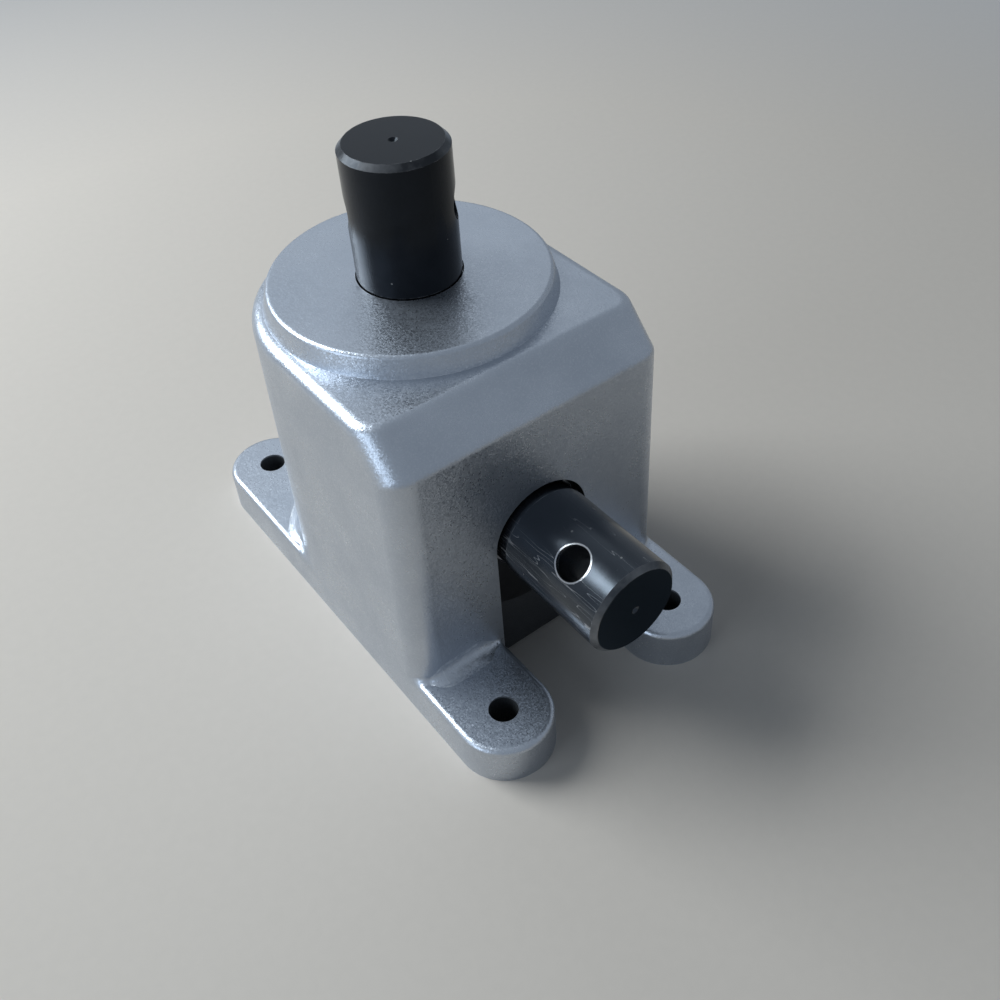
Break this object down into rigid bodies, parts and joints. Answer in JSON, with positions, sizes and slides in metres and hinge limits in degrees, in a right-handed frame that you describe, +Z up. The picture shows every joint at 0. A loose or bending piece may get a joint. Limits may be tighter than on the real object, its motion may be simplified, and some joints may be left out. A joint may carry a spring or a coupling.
{
  "type": "right angle bevel gearbox",
  "caption": "Right angle mitre gearbox in a cast housing with round-ended mounting ears and drilled black steel shafts.",
  "frame": {"origin": "on the base plane, straight under the upright shaft's axis", "axes": "+Z up along the upright shaft, -Y along the level shaft and out of its end, X across the housing"},
  "size_m": [0.064, 0.1162, 0.0995],
  "materials": {
    "cast_aluminium": "cast, blasted and silver painted",
    "black_steel": "turned, black oxide",
    "gear_steel": "cut, oiled",
    "bearing_steel": "ground",
    "bright_steel": "drawn",
    "spring_steel": "phosphated",
    "zinc_plated_steel": "zinc plated",
    "fibre_gasket": "pressed fibre",
    "cage_plastic": "moulded"
  },
  "bodies": {
    "casing": {"housing": "cast_aluminium", "bottom_cover": "cast_aluminium", "cover_gasket": "fibre_gasket", "cover_screws": "zinc_plated_steel", "upper_bearing_outer_ring": "bearing_steel", "front_bearing_outer_ring": "bearing_steel", "upper_bearing_clip": "spring_steel", "upper_grease_shield": "spring_steel", "front_grease_shield": "spring_steel"},
    "upright_line": {"upright_shaft": "black_steel", "upright_gear": "gear_steel", "upright_key": "bright_steel", "upright_gear_clip": "spring_steel", "upper_bearing_inner_ring": "bearing_steel", "upper_bearing_collar": "bearing_steel"},
    "level_line": {"level_shaft": "black_steel", "level_gear": "gear_steel", "level_key": "bright_steel", "level_gear_clip": "spring_steel", "front_bearing_inner_ring": "bearing_steel", "front_bearing_collar": "bearing_steel"},
    "upper_roller_set": {"upper_bearing_rollers": "bearing_steel", "upper_bearing_cage": "cage_plastic"},
    "front_roller_set": {"front_bearing_rollers": "bearing_steel", "front_bearing_cage": "cage_plastic"}
  },
  "joints": [
    {"name": "upright_turn", "type": "hinge", "parent": "casing", "child": "upright_line", "pos_m": [0, 0, 0.0345], "axis": [0, 0, 1], "continuous": true},
    {"name": "level_turn", "type": "hinge", "parent": "casing", "child": "level_line", "pos_m": [0, 0, 0.0345], "axis": [0, -1, 0], "continuous": true},
    {"name": "upper_rollers_turn", "type": "hinge", "parent": "casing", "child": "upper_roller_set", "pos_m": [0, 0, 0.0345], "axis": [0, 0, 1], "continuous": true},
    {"name": "front_rollers_turn", "type": "hinge", "parent": "casing", "child": "front_roller_set", "pos_m": [0, 0, 0.0345], "axis": [0, -1, 0], "continuous": true}
  ],
  "couplings": [
    {"joint": "level_turn", "follows": "upright_turn", "ratio": -1},
    {"joint": "upper_rollers_turn", "follows": "upright_turn", "ratio": 0.38526},
    {"joint": "front_rollers_turn", "follows": "upright_turn", "ratio": -0.38526}
  ]
}
